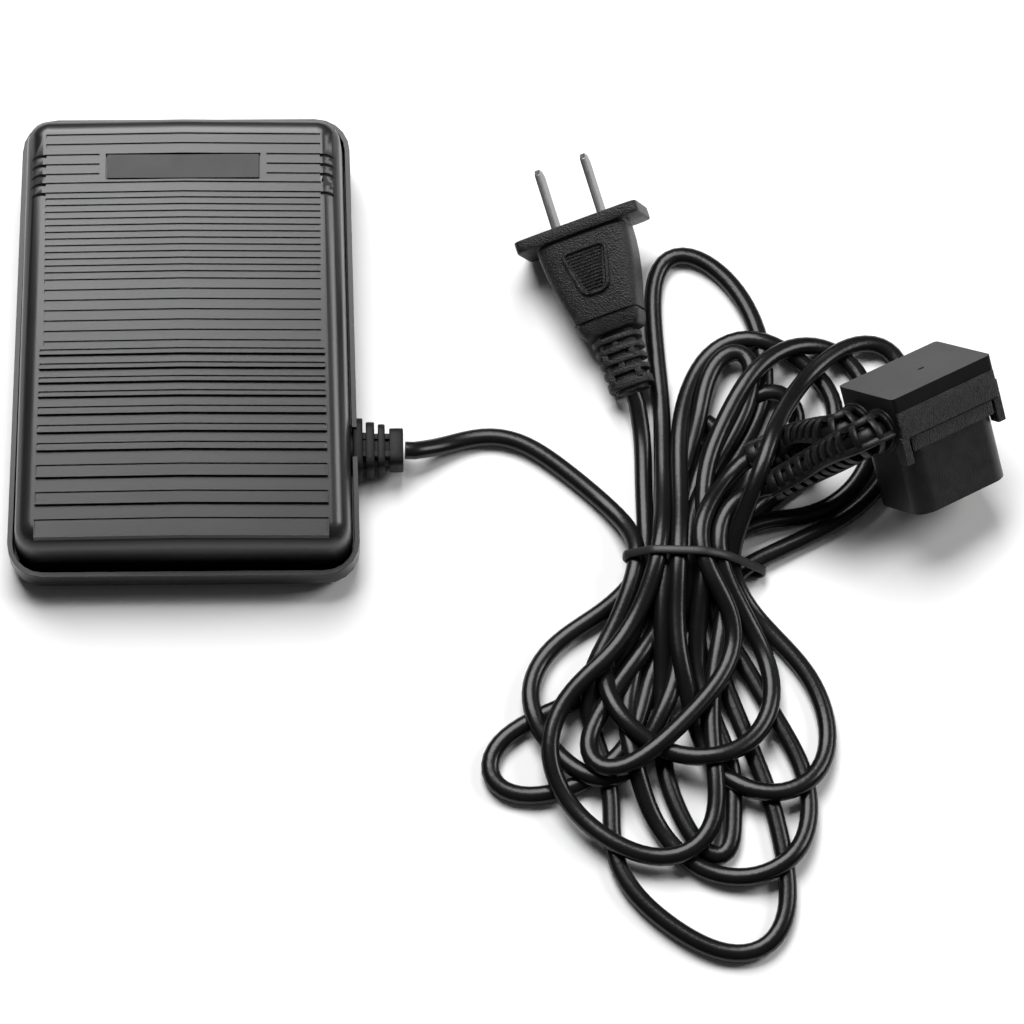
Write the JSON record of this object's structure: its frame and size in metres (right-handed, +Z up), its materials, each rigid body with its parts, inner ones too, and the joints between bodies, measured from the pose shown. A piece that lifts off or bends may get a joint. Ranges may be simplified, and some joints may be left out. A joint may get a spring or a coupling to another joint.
{
  "type": "sewing machine foot pedal",
  "caption": "Electronic foot speed control with a ribbed rocking cover on a shallow tray, a mains lead with a two-blade plug, a lead to a block connector, and both leads tied in a hank.",
  "frame": {"origin": "bottom centre of the pedal proper, on the surface its rubber feet stand on, midway between its sides and between heel and toe", "axes": "+Y from the heel edge to the raised toe edge, +X to the side the leads leave from, +Z up"},
  "size_m": [0.2528, 0.2275, 0.0433],
  "materials": {
    "shell_black": "satin-gloss moulded ABS",
    "moulded_black": "fine spark-eroded texture",
    "rubber_black": "matt",
    "lead_black": "semi-gloss PVC sheath",
    "steel": "bright zinc plated",
    "nickel": "satin nickel plated brass",
    "brass": "bright",
    "aluminium": "mill finish",
    "board_tan": "phenolic paper laminate",
    "film_yellow": "dipped film capacitor",
    "enamelled_copper": "enamelled copper wire",
    "phenolic": "moulded phenolic",
    "white_nylon": "natural nylon"
  },
  "bodies": {
    "root": {"base_tray": "shell_black", "cord_clamp": "moulded_black", "plug_body": "moulded_black", "connector_cap": "moulded_black", "connector_socket": "moulded_black", "rubber_foot_1": "rubber_black", "rubber_foot_2": "rubber_black", "rubber_foot_3": "rubber_black", "rubber_foot_4": "rubber_black", "stop_bumper": "rubber_black", "pedal_strain_relief": "rubber_black", "connector_relief_near": "rubber_black", "connector_relief_far": "rubber_black", "cord_tie": "rubber_black", "lead_tail": "lead_black", "pedal_lead": "lead_black", "plug_lead": "lead_black", "hank_lower": "lead_black", "hank_neck": "lead_black", "hank_upper": "lead_black", "hinge_pin": "steel", "hinge_bracket_left": "steel", "hinge_bracket_right": "steel", "bracket_screw_left": "steel", "bracket_screw_right": "steel", "return_spring_left": "steel", "return_spring_right": "steel", "board_screw_1": "steel", "board_screw_2": "steel", "board_screw_3": "steel", "board_screw_4": "steel", "clamp_screw_1": "steel", "clamp_screw_2": "steel", "plug_blade_left": "nickel", "plug_blade_right": "nickel", "socket_contact_1": "brass", "socket_contact_2": "brass", "socket_contact_3": "brass", "heat_sink": "aluminium", "circuit_board": "board_tan", "suppressor_capacitor": "film_yellow", "choke_coil": "enamelled_copper", "slide_potentiometer": "phenolic", "triac": "phenolic", "terminal_block": "white_nylon"},
    "cover": {"cover_shell": "shell_black", "badge_plate": "moulded_black"},
    "plunger": {"plunger": "white_nylon"}
  },
  "joints": [
    {"name": "cover_hinge", "type": "hinge", "parent": "root", "child": "cover", "pos_m": [0, -0.051, 0.0095], "axis": [-1, 0, 0], "range_deg": [0, 5], "stiffness_Nm_per_rad": 12, "springref_deg": -2.86, "deforming": ["return_spring_left", "return_spring_right"]},
    {"name": "plunger_slide", "type": "slide", "parent": "root", "child": "plunger", "axis": [0, 0, -1], "range_m": [0, 0.0053]}
  ],
  "couplings": [
    {"joint": "plunger_slide", "follows": "cover_hinge", "m_per_rad": 0.059}
  ]
}
